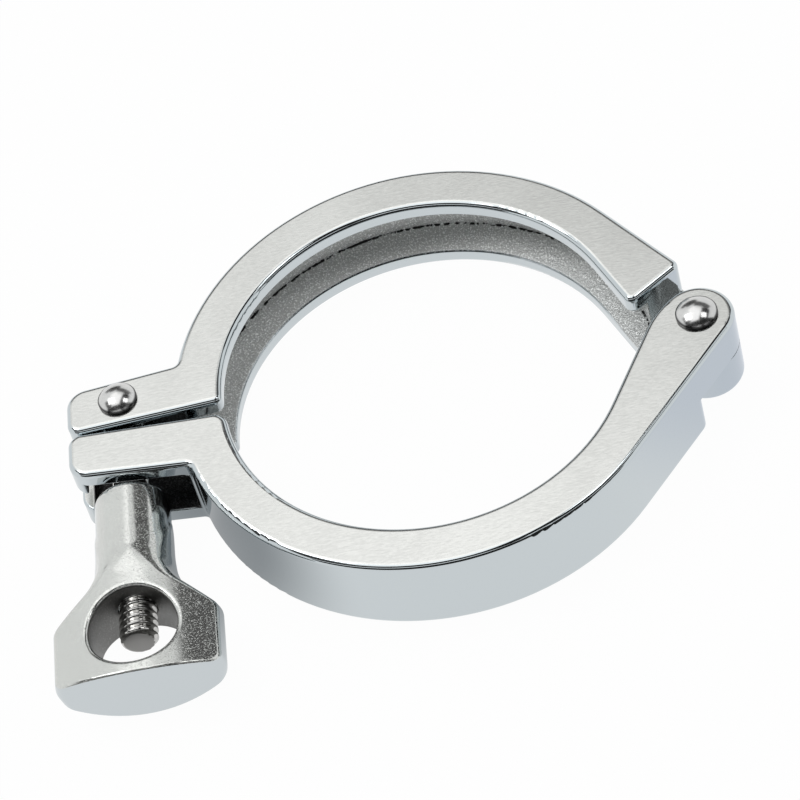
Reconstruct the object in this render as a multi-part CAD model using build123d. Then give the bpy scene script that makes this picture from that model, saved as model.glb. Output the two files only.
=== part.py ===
from build123d import *
import math
import os

# Hinged clamp that squeezes two 3 inch ferrules and their gasket together.
# Millimetres. The ring lies flat, +Z is up, and the origin is on the axis of the rear
# half's ring, half way up. The hinge is at +X, the lugs and their bolt at -X, and the bolt
# points along -Y. Pieces are drawn up from their underside and lowered at the end. Each
# half is drawn as a plan of x and v, where v is the distance from the parting line into
# that half, and the front half is then turned over.

# Ring section
HEIGHT = 19.0
LIP_R = 42.2
GROOVE_DEPTH = 6.3
RING_WALL = 4.0
LIP_EDGE = 3.5
FLANK_DEG = 20.0
EDGE_ROUND = 1.3
LIP_ROUND = 0.7

# Places in the plan
PARTING_Y = -2.7
REAR_CENTRE_V = 2.7
FRONT_CENTRE_V = -1.1
FRONT_CENTRE_X = 0.4
HINGE_AWAY = 5.4
BOLT_AWAY = 11.7
PIVOT_V = 6.9

# Lugs
LUG_PAST_BOLT = 11.2
LUG_TIP_T = 11.4
LUG_TIP_GAP = 0.1
LUG_SPLAY_DEG = 2.6
LUG_TAPER_DEG = 2.6
LUG_CORNER_R = 4.5
LUG_MATING_R = 2.9
LUG_ROOT_R = 1.6
REAR_MOUTH_R = 1.6
FRONT_MOUTH_R = 3.2

# Hinge arms: one is the upper half of the height, the other the lower half
EAR_R = 7.7
WAIST_R = 21.0
WAIST_DEG = 54.6
LAYER_GAP = 0.2
REAR_STEP_DEG = 35.2
REAR_STEP_AWAY = 12.8
REAR_STEP_ROUND = 1.8
FRONT_STEP_R = 12.6
FRONT_STEP_ROUND = 2.2

# Rivets
HINGE_PIN_D = 6.0
HINGE_HEAD_D = 8.8
PIVOT_PIN_D = 5.0
PIVOT_HEAD_D = 8.3
HEAD_RISE = 2.4
HEAD_RIM = 0.5
TAIL_DEPTH = 1.2
TAIL_FLARE = 1.2
TAIL_RECESS = 0.1
PRESS_FIT = 0.02
RUNNING_FIT = 0.05
HEAD_CLEARANCE = 0.1

# Eye bolt
EYE_D = 13.0
EYE_T = 7.0
EYE_ROUND = 0.8
NECK_T = 4.4
NECK_END = 23.0
THREAD_D = 8.0
BOLT_REACH = 56.5
BOLT_CHAMFER = 0.9

# Slots that the eye bolt stands and swings in
FORK_CLEARANCE = 0.3
FORK_END_CLEARANCE = 0.9
MOUTH_CLEARANCE = 0.4
MOUTH_ROUND = 1.0
CAVITY_H = 11.2
CAVITY_TIP_T = 2.7
CAVITY_PAST_BOLT = 13.4
CAVITY_ROUND = 1.5
SLOT_RIM_ROUND = 0.6

# Wing nut, measured along the bolt from the pivot
NUT_SWING_CLEARANCE = 0.2
COLLAR_R = 7.9
COLLAR_ROUND = 1.4
BORE_CHAMFER = 0.8
COLLAR_SUNK_R = 6.5
COLLAR_BURIED = 1.0
FLARE_DEG = 37.0
WING_HALF_W = 17.6
WING_TIP_R = 1.5
WING_SHOULDER_R = 4.0
WING_CORNER_R = 2.0
WING_SIDE_L = 15.6
WING_END = 69.0
WING_END_BULGE = 2.2
WING_CROWN = 7.7
WING_CROWN_R = 34.0
WING_EDGE_ROUND = 0.6
EYE_HOLE_R = 9.2
EYE_HOLE_AT = 56.8
EYE_HOLE_ROUND = 0.8

MID_Z = HEIGHT / 2
GROOVE_R = LIP_R + GROOVE_DEPTH
RING_OUTER_R = GROOVE_R + RING_WALL
HINGE = Vector(RING_OUTER_R + HINGE_AWAY, 0)
BOLT_X = -RING_OUTER_R - BOLT_AWAY
PIVOT_Y = PARTING_Y + PIVOT_V
LUG_END_X = BOLT_X - LUG_PAST_BOLT
LUG_SPLAY = math.radians(LUG_SPLAY_DEG)
LUG_LEAN = LUG_SPLAY + math.radians(LUG_TAPER_DEG)
FORK_H = EYE_T + 2 * FORK_CLEARANCE
FLARE_SLOPE = math.tan(math.radians(FLARE_DEG))
WING_SIDE_START = WING_END - WING_END_BULGE - WING_SIDE_L
MOUTH_H = NECK_T + 2 * MOUTH_CLEARANCE

# Longer than any piece, past any face, and equal to a length
FAR = 4 * RING_OUTER_R
OVERSHOOT = 1.0
SAME = 0.01


def polar(centre, radius, degrees):
    turn = math.radians(degrees)
    return centre + Vector(math.cos(turn), math.sin(turn)) * radius


def tangent(centre_a, radius_a, centre_b, radius_b):
    """Ends of the line from circle a to circle b with both on its right. A negative
    radius puts that circle on its left."""
    gap = centre_b - centre_a
    turn = math.atan2(gap.Y, gap.X) + math.acos((radius_a - radius_b) / gap.length)
    left = Vector(math.cos(turn), math.sin(turn))
    return centre_a + left * radius_a, centre_b + left * radius_b


def first_crossing(point, direction, centre, radius):
    """Where a line that starts outside a circle first meets it."""
    back = (centre - point).dot(direction)
    miss = (centre - point - direction * back).length
    return point + direction * (back - math.sqrt(radius**2 - miss**2))


def turn_about(centre, start, end, clockwise=False):
    """Arc about centre from start to end."""
    first = math.atan2(start.Y - centre.Y, start.X - centre.X)
    last = math.atan2(end.Y - centre.Y, end.X - centre.X)
    sweep = (first - last) % (2 * math.pi) if clockwise else -((last - first) % (2 * math.pi))
    return ThreePointArc(start, polar(centre, (start - centre).length, math.degrees(first - sweep / 2)), end)


def rounded(face, point, radius):
    """The face with its corner nearest to point rounded in plan."""
    nearest = min(face.vertices(), key=lambda vertex: (Vector(*vertex) - point).length)
    return face.fillet_2d(radius, [nearest])


def half_plan(centre, mouth_r):
    """Plan of one half with its hinge arm, from the lug's mating face round to the ear."""
    mating_tip = Vector(LUG_END_X, LUG_TIP_GAP / 2)
    outer_tip = Vector(LUG_END_X, LUG_TIP_GAP / 2 + LUG_TIP_T)
    mouth = first_crossing(mating_tip, Vector(math.cos(LUG_SPLAY), math.sin(LUG_SPLAY)), centre, LIP_R)
    root = first_crossing(outer_tip, Vector(math.cos(LUG_LEAN), math.sin(LUG_LEAN)), centre, RING_OUTER_R)
    waist = polar(HINGE, WAIST_R - EAR_R, WAIST_DEG)
    lip_end, waist_start = tangent(centre, LIP_R, waist, -WAIST_R)
    waist_end = polar(HINGE, -EAR_R, WAIST_DEG)
    shoulder, ear_end = tangent(centre, RING_OUTER_R, HINGE, EAR_R)
    outline = Wire(
        [
            turn_about(centre, mouth, lip_end, clockwise=True).edge(),
            Edge.make_line(lip_end, waist_start),
            turn_about(waist, waist_start, waist_end).edge(),
            turn_about(HINGE, waist_end, ear_end).edge(),
            Edge.make_line(ear_end, shoulder),
            turn_about(centre, shoulder, root).edge(),
            Edge.make_line(root, outer_tip),
            Edge.make_line(outer_tip, mating_tip),
            Edge.make_line(mating_tip, mouth),
        ]
    )
    plan = Face(outline)
    plan = rounded(plan, root, LUG_ROOT_R)
    plan = rounded(plan, outer_tip, LUG_CORNER_R)
    plan = rounded(plan, mating_tip, LUG_MATING_R)
    return rounded(plan, mouth, mouth_r)


def stepped_plan(plan, cutter, on_cut, radius):
    """The plan without its hinge arm, with the two new corners rounded."""
    cut = (plan - cutter).face()
    corners = [vertex for vertex in cut.vertices() if on_cut(Vector(*vertex))]
    return cut.fillet_2d(radius, corners)


def two_layers(lower, upper, lower_top, upper_bottom):
    """A half's body: each plan raised to its own layer, joined where both are present."""
    return extrude(lower, lower_top) + Pos(0, 0, upper_bottom) * extrude(upper, HEIGHT - upper_bottom)


def groove(centre):
    """The tapered channel that grips the ferrules, as a ring to cut away."""
    rise = math.tan(math.radians(FLANK_DEG))
    inner = LIP_R - EDGE_ROUND
    low = LIP_EDGE - (LIP_R - inner) * rise
    deep = LIP_EDGE + (GROOVE_R - LIP_R) * rise
    section = Polyline(
        (inner, low), (GROOVE_R, deep), (GROOVE_R, HEIGHT - deep), (inner, HEIGHT - low), (inner, low)
    )
    ring = revolve(Plane.XZ * make_face(section.edges()), Axis.Z)
    return Pos(centre.X, centre.Y, 0) * ring


def rivet(pin_d, head_d, place):
    """Domed rivet with a countersunk tail, flush underneath."""
    shank = pin_d / 2
    seat = HEIGHT + HEAD_CLEARANCE
    top = seat + HEAD_RISE
    rim = Vector(head_d / 2, seat + HEAD_RIM)
    crown_r = (rim.X**2 + (top - rim.Y) ** 2) / (2 * (top - rim.Y))
    half_way = math.asin(rim.X / crown_r) / 2
    crown = ThreePointArc(
        rim, (crown_r * math.sin(half_way), top - crown_r * (1 - math.cos(half_way))), (0, top)
    )
    straight = Polyline(
        (0, top),
        (0, TAIL_RECESS),
        (shank + TAIL_FLARE, TAIL_RECESS),
        (shank, TAIL_RECESS + TAIL_DEPTH),
        (shank, seat),
        (head_d / 2, seat),
        rim,
    )
    profile = make_face(straight.edges() + crown.edges())
    return Pos(place.X, place.Y, 0) * revolve(Plane.XZ * profile, Axis.Z)


def rivet_hole(pin_d, place):
    """Through hole with the countersink of the rivet's tail."""
    shank = pin_d / 2 + PRESS_FIT
    slope = TAIL_FLARE / TAIL_DEPTH
    outline = Polyline(
        (0, -OVERSHOOT),
        (shank + TAIL_FLARE + slope * (TAIL_RECESS + OVERSHOOT), -OVERSHOOT),
        (shank, TAIL_RECESS + TAIL_DEPTH),
        (shank, HEIGHT + OVERSHOOT),
        (0, HEIGHT + OVERSHOOT),
        (0, -OVERSHOOT),
    )
    return Pos(place.X, place.Y, 0) * revolve(Plane.XZ * make_face(outline.edges()), Axis.Z)


def slot(x_from, x_to, height, end_round):
    """Box across the whole lug, centred on the height, with the end at x_to rounded."""
    box = Pos((x_from + x_to) / 2, 0, MID_Z) * Box(x_to - x_from, FAR, height)
    inner = box.edges().filter_by(Axis.Y).group_by(Axis.X)[-1]
    return fillet(inner, end_round)


def slot_rims(half, plan):
    """Where the slots come out through the lug's upright outside."""
    outside = plan.outer_wire()
    found = []
    for edge in half.edges():
        points = [edge @ t for t in (0, 0.5, 1)]
        on_slot = all(abs(p.Z - MID_Z) < CAVITY_H / 2 + SAME and p.X < BOLT_X + CAVITY_PAST_BOLT + SAME for p in points)
        if on_slot and all(outside.distance_to(Vector(p.X, p.Y)) < SAME for p in points):
            found.append(edge)
    return found


def round_flat_edges(half):
    """Polished rounds along the top and bottom outlines."""
    edges = half.edges().group_by(Axis.Z)
    return fillet(edges[0] + edges[-1], EDGE_ROUND)


def lip_edges(half, centre):
    """The four edges where the groove's flanks meet the lips."""
    levels = (LIP_EDGE, HEIGHT - LIP_EDGE)
    found = []
    for edge in half.edges():
        points = [edge @ t for t in (0, 0.5, 1)]
        on_lip = all(abs(math.hypot(p.X - centre.X, p.Y - centre.Y) - LIP_R) < SAME for p in points)
        on_level = any(all(abs(p.Z - level) < SAME for p in points) for level in levels)
        if on_lip and on_level:
            found.append(edge)
    return found


def rear_half():
    centre = Vector(0, REAR_CENTRE_V)
    plan = half_plan(centre, REAR_MOUTH_R)
    normal = polar(Vector(0, 0), 1, REAR_STEP_DEG + 90)
    middle = HINGE + normal * (REAR_STEP_AWAY - FAR / 2)
    cutter = Pos(middle.X, middle.Y) * Rot(0, 0, REAR_STEP_DEG) * Rectangle(FAR, FAR)
    upper = stepped_plan(
        plan,
        cutter,
        lambda p: abs((p - HINGE).dot(normal) - REAR_STEP_AWAY) < SAME,
        REAR_STEP_ROUND,
    )
    half = two_layers(plan, upper, MID_Z - LAYER_GAP / 2, MID_Z - LAYER_GAP / 2)
    half = round_flat_edges(half)
    half -= groove(centre)
    half = fillet(lip_edges(half, centre), LIP_ROUND)
    half -= slot(LUG_END_X - OVERSHOOT, BOLT_X + EYE_D / 2 + FORK_END_CLEARANCE, FORK_H, EYE_ROUND)
    half -= rivet_hole(PIVOT_PIN_D, Vector(BOLT_X, PIVOT_V))
    half -= rivet_hole(HINGE_PIN_D, HINGE)
    return Pos(0, PARTING_Y, 0) * half


def front_half():
    centre = Vector(FRONT_CENTRE_X, FRONT_CENTRE_V)
    plan = half_plan(centre, FRONT_MOUTH_R)
    cutter = Pos(HINGE.X, HINGE.Y) * Circle(FRONT_STEP_R)
    lower = stepped_plan(
        plan, cutter, lambda p: abs((p - HINGE).length - FRONT_STEP_R) < SAME, FRONT_STEP_ROUND
    )
    half = two_layers(lower, plan, MID_Z + LAYER_GAP / 2, MID_Z + LAYER_GAP / 2)
    half = round_flat_edges(half)
    half -= groove(centre)
    half = fillet(lip_edges(half, centre), LIP_ROUND)
    half -= slot(LUG_END_X + CAVITY_TIP_T, BOLT_X + CAVITY_PAST_BOLT, CAVITY_H, CAVITY_ROUND)
    half -= slot(LUG_END_X - OVERSHOOT, BOLT_X, MOUTH_H, MOUTH_ROUND)
    half = fillet(slot_rims(half, plan), SLOT_RIM_ROUND)
    half -= Pos(HINGE.X, HINGE.Y, MID_Z) * Cylinder(HINGE_PIN_D / 2 + RUNNING_FIT, FAR)
    return Pos(0, PARTING_Y, 0) * mirror(half, Plane.XZ)


def eye_bolt():
    """Eye, flattened neck and threaded length, drawn along +Y from the pivot."""
    eye = fillet(Cylinder(EYE_D / 2, EYE_T).edges(), EYE_ROUND)
    rod = Rot(-90, 0, 0) * Cylinder(THREAD_D / 2, BOLT_REACH, align=(Align.CENTER, Align.CENTER, Align.MIN))
    rod = chamfer(rod.edges().group_by(Axis.Y)[-1], BOLT_CHAMFER)
    for side in (-1, 1):
        rod -= Pos(0, NECK_END / 2, side * (NECK_T + THREAD_D) / 2) * Box(FAR, NECK_END, THREAD_D)
    bolt = eye + rod - Cylinder(PIVOT_PIN_D / 2 + RUNNING_FIT, FAR)
    return Pos(BOLT_X, PIVOT_Y, MID_Z) * Rot(0, 0, 180) * bolt


def nut_start():
    """Where the nut's back face clears the front lug's rounded corner as the bolt swings."""
    across = LUG_PAST_BOLT - LUG_CORNER_R
    tip = LUG_TIP_GAP / 2 + LUG_TIP_T + LUG_CORNER_R * (math.tan(LUG_LEAN) - 1 / math.cos(LUG_LEAN))
    return math.hypot(across, PIVOT_V + tip) + LUG_CORNER_R + NUT_SWING_CLEARANCE


def wing_plan():
    """Outline of the wings along +Y: a wedge that grows out of the collar, then two sides
    and a bulging end."""
    tip = Vector(0, WING_SIDE_START - WING_HALF_W / FLARE_SLOPE)
    shoulders = [Vector(side * WING_HALF_W, WING_SIDE_START) for side in (1, -1)]
    corners = [Vector(side * WING_HALF_W, WING_SIDE_START + WING_SIDE_L) for side in (1, -1)]
    sides = Polyline(corners[1], shoulders[1], tip, shoulders[0], corners[0])
    end = ThreePointArc(corners[0], (0, WING_END), corners[1])
    plan = make_face(sides.edges() + end.edges()).face()
    plan = rounded(plan, tip, WING_TIP_R)
    for shoulder, corner in zip(shoulders, corners):
        plan = rounded(plan, shoulder, WING_SHOULDER_R)
        plan = rounded(plan, corner, WING_CORNER_R)
    return plan


def wings():
    """The wings, crowned on both faces so they are thick in the middle and thin at the sides."""
    body = extrude(wing_plan(), WING_CROWN, both=True)
    for side in (-1, 1):
        axis_z = side * (WING_CROWN_R - WING_CROWN)
        body &= Pos(0, WING_END / 2, axis_z) * Rot(90, 0, 0) * Cylinder(WING_CROWN_R, 2 * WING_END)
    rims = [edge for edge in body.edges() if (edge @ 0).Z * (edge @ 1).Z > 0]
    return fillet(rims, WING_EDGE_ROUND)


def collar():
    """Turned collar that tapers away inside the wings, from the flare to the finger hole."""
    start = nut_start()
    taper_start = WING_SIDE_START - (WING_HALF_W - COLLAR_R) / FLARE_SLOPE
    taper_end = EYE_HOLE_AT - EYE_HOLE_R - COLLAR_BURIED
    section = Polyline(
        (0, start),
        (COLLAR_R, start),
        (COLLAR_R, taper_start),
        (COLLAR_SUNK_R, taper_end),
        (0, taper_end),
        (0, start),
    )
    turned = revolve(make_face(section.edges()), Axis.Y)
    return fillet(turned.edges().group_by(Axis.Y)[0], COLLAR_ROUND)


def wing_nut():
    nut = wings() + collar()
    nut -= Pos(0, EYE_HOLE_AT, 0) * Cylinder(EYE_HOLE_R, FAR)
    rims = []
    for edge in nut.edges():
        points = [edge @ t for t in (0, 0.5, 1)]
        if all(abs(math.hypot(p.X, p.Y - EYE_HOLE_AT) - EYE_HOLE_R) < SAME for p in points):
            if all(abs(p.Z) > COLLAR_SUNK_R / 2 for p in points):
                rims.append(edge)
    nut = fillet(rims, EYE_HOLE_ROUND)
    bore_r = THREAD_D / 2 + RUNNING_FIT
    along = (Align.CENTER, Align.CENTER, Align.MIN)
    face = Pos(0, nut_start(), 0) * Rot(-90, 0, 0)
    nut -= face * Cylinder(bore_r, EYE_HOLE_AT - nut_start(), align=along)
    nut -= face * Cone(bore_r + BORE_CHAMFER, bore_r, BORE_CHAMFER, align=along)
    return Pos(BOLT_X, PIVOT_Y, MID_Z) * Rot(0, 0, 180) * nut


def main():
    os.makedirs("parts", exist_ok=True)
    pieces = {
        "rear_clamp_half": rear_half,
        "front_clamp_half": front_half,
        "hinge_rivet": lambda: rivet(HINGE_PIN_D, HINGE_HEAD_D, HINGE + Vector(0, PARTING_Y)),
        "bolt_pivot_rivet": lambda: rivet(PIVOT_PIN_D, PIVOT_HEAD_D, Vector(BOLT_X, PIVOT_Y)),
        "eye_bolt": eye_bolt,
        "wing_nut": wing_nut,
    }
    for name, make in pieces.items():
        export_step(Pos(0, 0, -MID_Z) * make(), f"parts/{name}.step")


main()
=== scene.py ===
"""Finish of the hinged clamp: polished castings, domed rivets, threaded eye bolt and wing nut.

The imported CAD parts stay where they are. The two clamp halves and the two rivets keep their
CAD shape and get their finish here; the eye bolt and the wing nut are rebuilt on top of theirs,
with a cut thread and softly blended wings. Lengths are in metres, in the CAD's own frame.
"""

import math

import bmesh
import bpy
import numpy as np
import openvdb
from bpy.props import FloatProperty, FloatVectorProperty, IntProperty, PointerProperty
from mathutils import Matrix, Vector


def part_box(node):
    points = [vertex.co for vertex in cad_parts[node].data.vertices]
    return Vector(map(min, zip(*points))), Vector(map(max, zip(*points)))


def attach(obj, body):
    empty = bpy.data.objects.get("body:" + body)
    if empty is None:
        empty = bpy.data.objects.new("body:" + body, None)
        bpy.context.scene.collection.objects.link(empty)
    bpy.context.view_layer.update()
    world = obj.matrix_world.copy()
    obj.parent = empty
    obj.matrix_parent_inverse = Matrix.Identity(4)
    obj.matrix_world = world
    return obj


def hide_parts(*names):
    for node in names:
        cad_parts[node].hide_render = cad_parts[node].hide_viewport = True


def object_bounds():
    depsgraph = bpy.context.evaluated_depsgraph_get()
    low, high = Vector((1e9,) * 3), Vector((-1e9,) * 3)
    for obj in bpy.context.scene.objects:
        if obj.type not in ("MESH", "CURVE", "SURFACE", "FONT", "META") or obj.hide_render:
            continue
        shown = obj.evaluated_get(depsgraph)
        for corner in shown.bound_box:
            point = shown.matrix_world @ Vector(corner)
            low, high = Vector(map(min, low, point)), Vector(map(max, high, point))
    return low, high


bl_info = {
    "name": "Hinged Clamp Finish",
    "version": (1, 0, 0),
    "blender": (4, 5, 0),
    "location": "3D View > Sidebar > Clamp",
    "description": "Dresses a sanitary hinged clamp: castings, rivets, bolt, wing nut and stage",
    "category": "Object",
}

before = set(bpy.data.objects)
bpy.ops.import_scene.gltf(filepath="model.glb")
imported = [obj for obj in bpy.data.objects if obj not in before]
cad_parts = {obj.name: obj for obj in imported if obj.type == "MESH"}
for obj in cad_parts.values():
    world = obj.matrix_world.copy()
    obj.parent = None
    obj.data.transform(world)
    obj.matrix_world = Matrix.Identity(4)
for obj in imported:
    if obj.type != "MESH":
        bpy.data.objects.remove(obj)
CAD_LOW, CAD_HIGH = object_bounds()

MM = 0.001

# Places read from the CAD frame.
REAR_LOW, REAR_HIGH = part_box("rear_clamp_half")
HALF_HEIGHT = (REAR_HIGH.z - REAR_LOW.z) / 2
BOLT_LOW, BOLT_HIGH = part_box("eye_bolt")
NUT_LOW, NUT_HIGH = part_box("wing_nut")
BOLT_X = (BOLT_LOW.x + BOLT_HIGH.x) / 2
EYE_RADIUS = (BOLT_HIGH.x - BOLT_LOW.x) / 2
EYE_THICKNESS = BOLT_HIGH.z - BOLT_LOW.z
PIVOT_Y = BOLT_HIGH.y - EYE_RADIUS
BOLT_REACH = PIVOT_Y - BOLT_LOW.y
NUT_LENGTH = NUT_HIGH.y - NUT_LOW.y
WING_HALF_WIDTH = (NUT_HIGH.x - NUT_LOW.x) / 2
COLLAR_RADIUS = (NUT_HIGH.z - NUT_LOW.z) / 2

# Regions of the castings. An edge says where its mask is 0 and where it is 1.
GROOVE_RADIUS = 48.7 * MM
GROOVE_HALF_HEIGHT = 5.9 * MM
GROOVE_EDGE = (0.15 * MM, -0.15 * MM)
SLOT_FAR_EDGE = (-73.2 * MM, -72.6 * MM)
SLOT_NEAR_EDGE = (-50.4 * MM, -50.8 * MM)
SLOT_ROOF_EDGE = (0.05 * MM, 0.0)
FLAT_EDGE = (0.09 * MM, 0.02 * MM)

# The broken line of painted shade along the crease where the groove's slope meets its floor.
CREASE_SHADE_HEIGHT = 3.72 * MM
CREASE_SHADE_BREAK_SCALE = 900.0
CREASE_SHADE_REACH = (-0.45 * MM, 0.65 * MM)
CREASE_SHADE_EDGE = (0.05 * MM, -0.05 * MM)
CREASE_SHADE_RADIUS_EDGE = (47.9 * MM, 48.2 * MM)

# The clamp halves: node, material, centre of the bore and half height of the bolt slot.
CASTINGS = (
    ("rear_clamp_half", "rear_casting", Vector((0, 0, 0)), 3.85 * MM),
    ("front_clamp_half", "front_casting", Vector((0.4, -1.6, 0)) * MM, 5.62 * MM),
)

# The photograph's viewpoint, worked out from the ring's two rims.
CAMERA_TARGET = Vector((-7.28, 5.66, -9.5)) * MM
CAMERA_BACK = Vector((0.0899, -0.6434, 0.7602))
CAMERA_DISTANCE = 774.32 * MM
CAMERA_ROLL = -16.905
CAMERA_LENS = 164.16
SENSOR_WIDTH = 36.0


# Sizes and colours that a user changes.


class CastingFinish(bpy.types.PropertyGroup):
    """Colours of the clamp halves, and how far the cast groove reaches"""

    satin: FloatVectorProperty(
        name="Satin faces",
        description="Steel colour of the brushed flat faces",
        subtype="COLOR",
        default=(0.65, 0.655, 0.635),
    )
    # Partly painted reflection: the buffed walls and rounds are the same steel, painted darker and
    # bluer than the flats as a reflection of the pale bluish floor.
    polished: FloatVectorProperty(
        name="Polished walls, painted tint",
        description="Steel colour of the buffed walls and rounds, painted darker and bluer as a reflection",
        subtype="COLOR",
        default=(0.555, 0.6, 0.62),
    )
    cast: FloatVectorProperty(
        name="Cast groove",
        description="Colour of the blasted groove that was never polished",
        subtype="COLOR",
        default=(0.5, 0.51, 0.505),
    )
    seam: FloatVectorProperty(
        name="Painted crease shade",
        description="Colour of the broken line of painted shade in the groove's crease",
        subtype="COLOR",
        default=(0.02, 0.02, 0.02),
    )
    # Painted shade: near black inside the bolt slot's recess.
    painted_slot_shade: FloatVectorProperty(
        name="Bolt slot",
        description="Colour of the painted shade over the cast surface inside the bolt slot",
        subtype="COLOR",
        default=(0.05, 0.05, 0.05),
    )
    groove_radius: FloatProperty(
        name="Groove radius",
        description="The cast surface lies inside this radius",
        unit="LENGTH",
        default=GROOVE_RADIUS,
    )
    groove_half_height: FloatProperty(
        name="Groove half height",
        description="Half of the groove's height between the two lips",
        unit="LENGTH",
        default=GROOVE_HALF_HEIGHT,
    )


class RivetFinish(bpy.types.PropertyGroup):
    """Colours of the two rivets' heads"""

    shade: FloatVectorProperty(
        name="Darker steel",
        description="Steel colour of the dome's darker patches",
        subtype="COLOR",
        default=(0.58, 0.58, 0.58),
    )
    shine: FloatVectorProperty(
        name="Brighter steel",
        description="Steel colour of the dome's brighter patches",
        subtype="COLOR",
        default=(0.66, 0.66, 0.65),
    )
    # Painted shade: a dark ring where the head meets the casting.
    painted_rim_shade: FloatVectorProperty(
        name="Painted rim shade",
        description="Colour of the painted shade where the head meets the casting",
        subtype="COLOR",
        default=(0.06, 0.06, 0.06),
    )


class BoltSizes(bpy.types.PropertyGroup):
    """Colour and sizes of the eye bolt"""

    steel: FloatVectorProperty(
        name="Steel",
        description="Colour of the turned steel",
        subtype="COLOR",
        default=(0.6, 0.595, 0.58),
    )
    thread_radius: FloatProperty(
        name="Thread radius", description="Radius over the crests", unit="LENGTH", default=4 * MM
    )
    thread_depth: FloatProperty(
        name="Thread depth", description="From crest to root", unit="LENGTH", default=0.85 * MM
    )
    pitch: FloatProperty(
        name="Pitch", description="Distance between crests", unit="LENGTH", default=1.72 * MM
    )
    thread_start: FloatProperty(
        name="Thread start",
        description="Distance from the pivot to the first thread",
        unit="LENGTH",
        default=23 * MM,
    )
    neck_thickness: FloatProperty(
        name="Neck thickness",
        description="Thickness of the flattened neck",
        unit="LENGTH",
        default=4.4 * MM,
    )
    eye_hole_radius: FloatProperty(
        name="Eye hole radius",
        description="Radius of the hole for the rivet",
        unit="LENGTH",
        default=2.55 * MM,
    )


class WingNutSizes(bpy.types.PropertyGroup):
    """Colours and sizes of the wing nut"""

    steel: FloatVectorProperty(
        name="Steel",
        description="Colour of the buffed wings",
        subtype="COLOR",
        default=(0.62, 0.63, 0.61),
    )
    # Painted reflection: the upright faces get a darker, bluer copy of the steel.
    side_reflection_tint: FloatVectorProperty(
        name="Side reflection tint",
        description="Colour of the upright faces, painted darker and bluer as a reflection",
        subtype="COLOR",
        default=(0.56, 0.6, 0.62),
    )
    hole_wall_shade: FloatVectorProperty(
        name="Hole wall shade",
        description="Colour of the cast wall of the finger hole, painted dark as shade",
        subtype="COLOR",
        default=(0.17, 0.17, 0.165),
    )
    flare: FloatProperty(
        name="Flare",
        description="Angle at which the wings leave the collar",
        subtype="ANGLE",
        default=math.radians(46),
    )
    side_length: FloatProperty(
        name="Side length",
        description="Length of the straight sides",
        unit="LENGTH",
        default=14.6 * MM,
    )
    end_bulge: FloatProperty(
        name="End bulge",
        description="How far the end stands out in the middle",
        unit="LENGTH",
        default=2.2 * MM,
    )
    crown: FloatProperty(
        name="Crown", description="Half thickness in the middle", unit="LENGTH", default=7.7 * MM
    )
    crown_radius: FloatProperty(
        name="Crown radius",
        description="Radius of the crowned faces",
        unit="LENGTH",
        default=34 * MM,
    )
    hole_radius: FloatProperty(
        name="Finger hole radius",
        description="Radius of the hole in the wings",
        unit="LENGTH",
        default=9.2 * MM,
    )
    draft: FloatProperty(
        name="Draft",
        description="Slope of the wings' edges away from the middle plane",
        subtype="ANGLE",
        default=math.radians(15),
    )
    hole_from_end: FloatProperty(
        name="Hole from end",
        description="From the wing's end to the middle of the finger hole",
        unit="LENGTH",
        default=12.2 * MM,
    )
    mesh_step: FloatProperty(
        name="Mesh step", description="Size of the quads", unit="LENGTH", default=0.25 * MM
    )


class StageLook(bpy.types.PropertyGroup):
    """Colour and reach of the floor"""

    floor: FloatVectorProperty(
        name="Floor", description="Colour of the floor", subtype="COLOR", default=(0.92, 0.93, 0.94)
    )
    floor_glow: FloatProperty(
        name="Floor white",
        description="Share of plain white in the floor as the camera sees it",
        subtype="FACTOR",
        min=0,
        max=1,
        default=0.97,
    )
    floor_sides: IntProperty(
        name="Floor sides", description="Corners of the floor's outline", min=3, default=128
    )
    floor_radius: FloatProperty(
        name="Floor radius", description="Reach of the floor", unit="LENGTH", default=30
    )


# Node wiring.


def rgba(colour, level=1.0):
    """The colour at that level of brightness, with full alpha."""
    return (*(level * part for part in colour), 1.0)


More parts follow.
